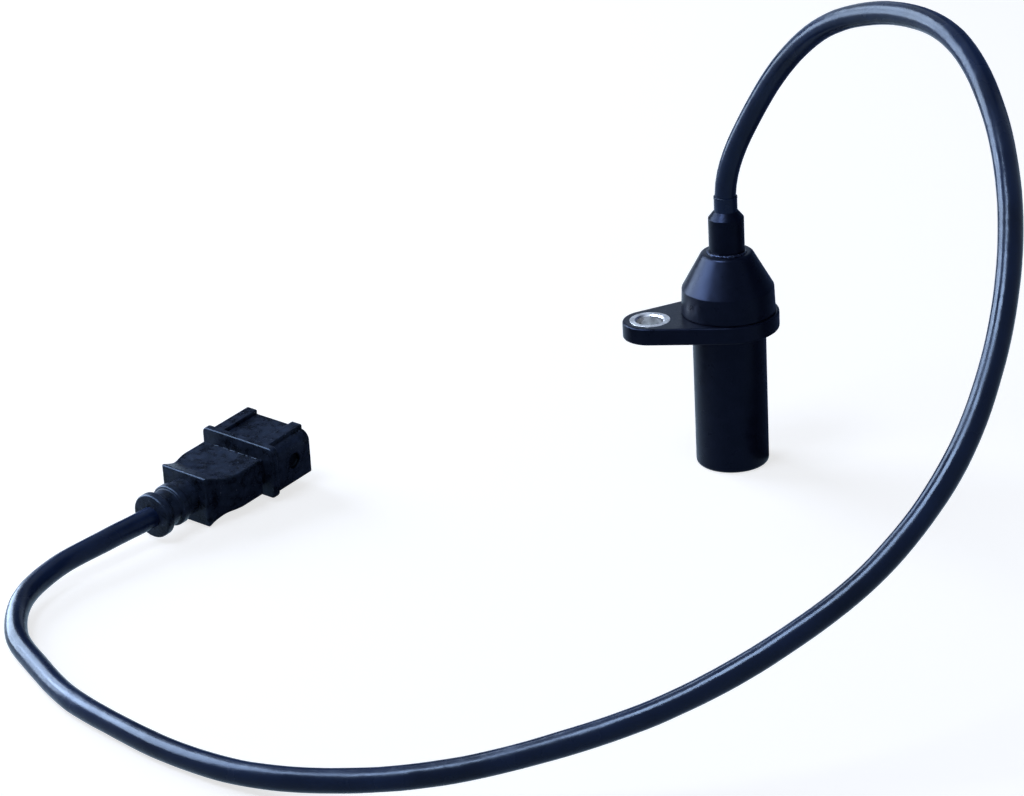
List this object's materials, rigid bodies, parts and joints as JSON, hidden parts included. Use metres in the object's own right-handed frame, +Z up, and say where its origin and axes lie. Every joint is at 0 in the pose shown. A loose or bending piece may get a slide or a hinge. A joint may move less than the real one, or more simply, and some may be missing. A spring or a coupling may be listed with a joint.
{
  "type": "crankshaft position sensor",
  "caption": "Inductive crankshaft position sensor: flanged plastic sensing head with a fixing ear, coil and magnet inside, and a cable with a blade-contact plug.",
  "frame": {"origin": "centre of the sensing face at the barrel's lower end", "axes": "+Z up along the barrel towards the cable's exit, -X from the barrel's axis to the fixing ear"},
  "size_m": [0.2181, 0.2039, 0.1289],
  "materials": {
    "housing_plastic": "moulded, satin",
    "gland_plastic": "moulded, satin",
    "seal_resin": "poured, glossy",
    "bushing_steel": "turned, bright zinc",
    "soft_iron": "turned",
    "magnet_alloy": "ground",
    "bobbin_plastic": "moulded",
    "copper_wire": "enamelled wire",
    "tinned_brass": "tinned",
    "white_core": "extruded",
    "brown_core": "extruded",
    "drain_core": "extruded",
    "cable_sheath": "extruded, glossy",
    "plug_rubber": "moulded, fine grain",
    "plug_plastic": "moulded, fine grain"
  },
  "bodies": {
    "root": {"sensor_housing": "housing_plastic", "mounting_bushing": "bushing_steel", "pole_pin": "soft_iron", "magnet": "magnet_alloy", "coil_bobbin": "bobbin_plastic", "coil_winding": "copper_wire", "post_carrier": "bobbin_plastic", "coil_posts": "tinned_brass", "coil_lead_front": "white_core", "coil_lead_back": "brown_core", "head_cap": "housing_plastic", "cable_gland": "gland_plastic", "seal_bead": "seal_resin", "cable_sleeve": "cable_sheath", "cable": "cable_sheath", "plug_grip": "plug_rubber", "plug_shell": "plug_plastic", "blade_left": "tinned_brass", "blade_middle": "tinned_brass", "blade_right": "tinned_brass", "plug_wire_left": "white_core", "plug_wire_middle": "drain_core", "plug_wire_right": "brown_core"}
  },
  "joints": []
}
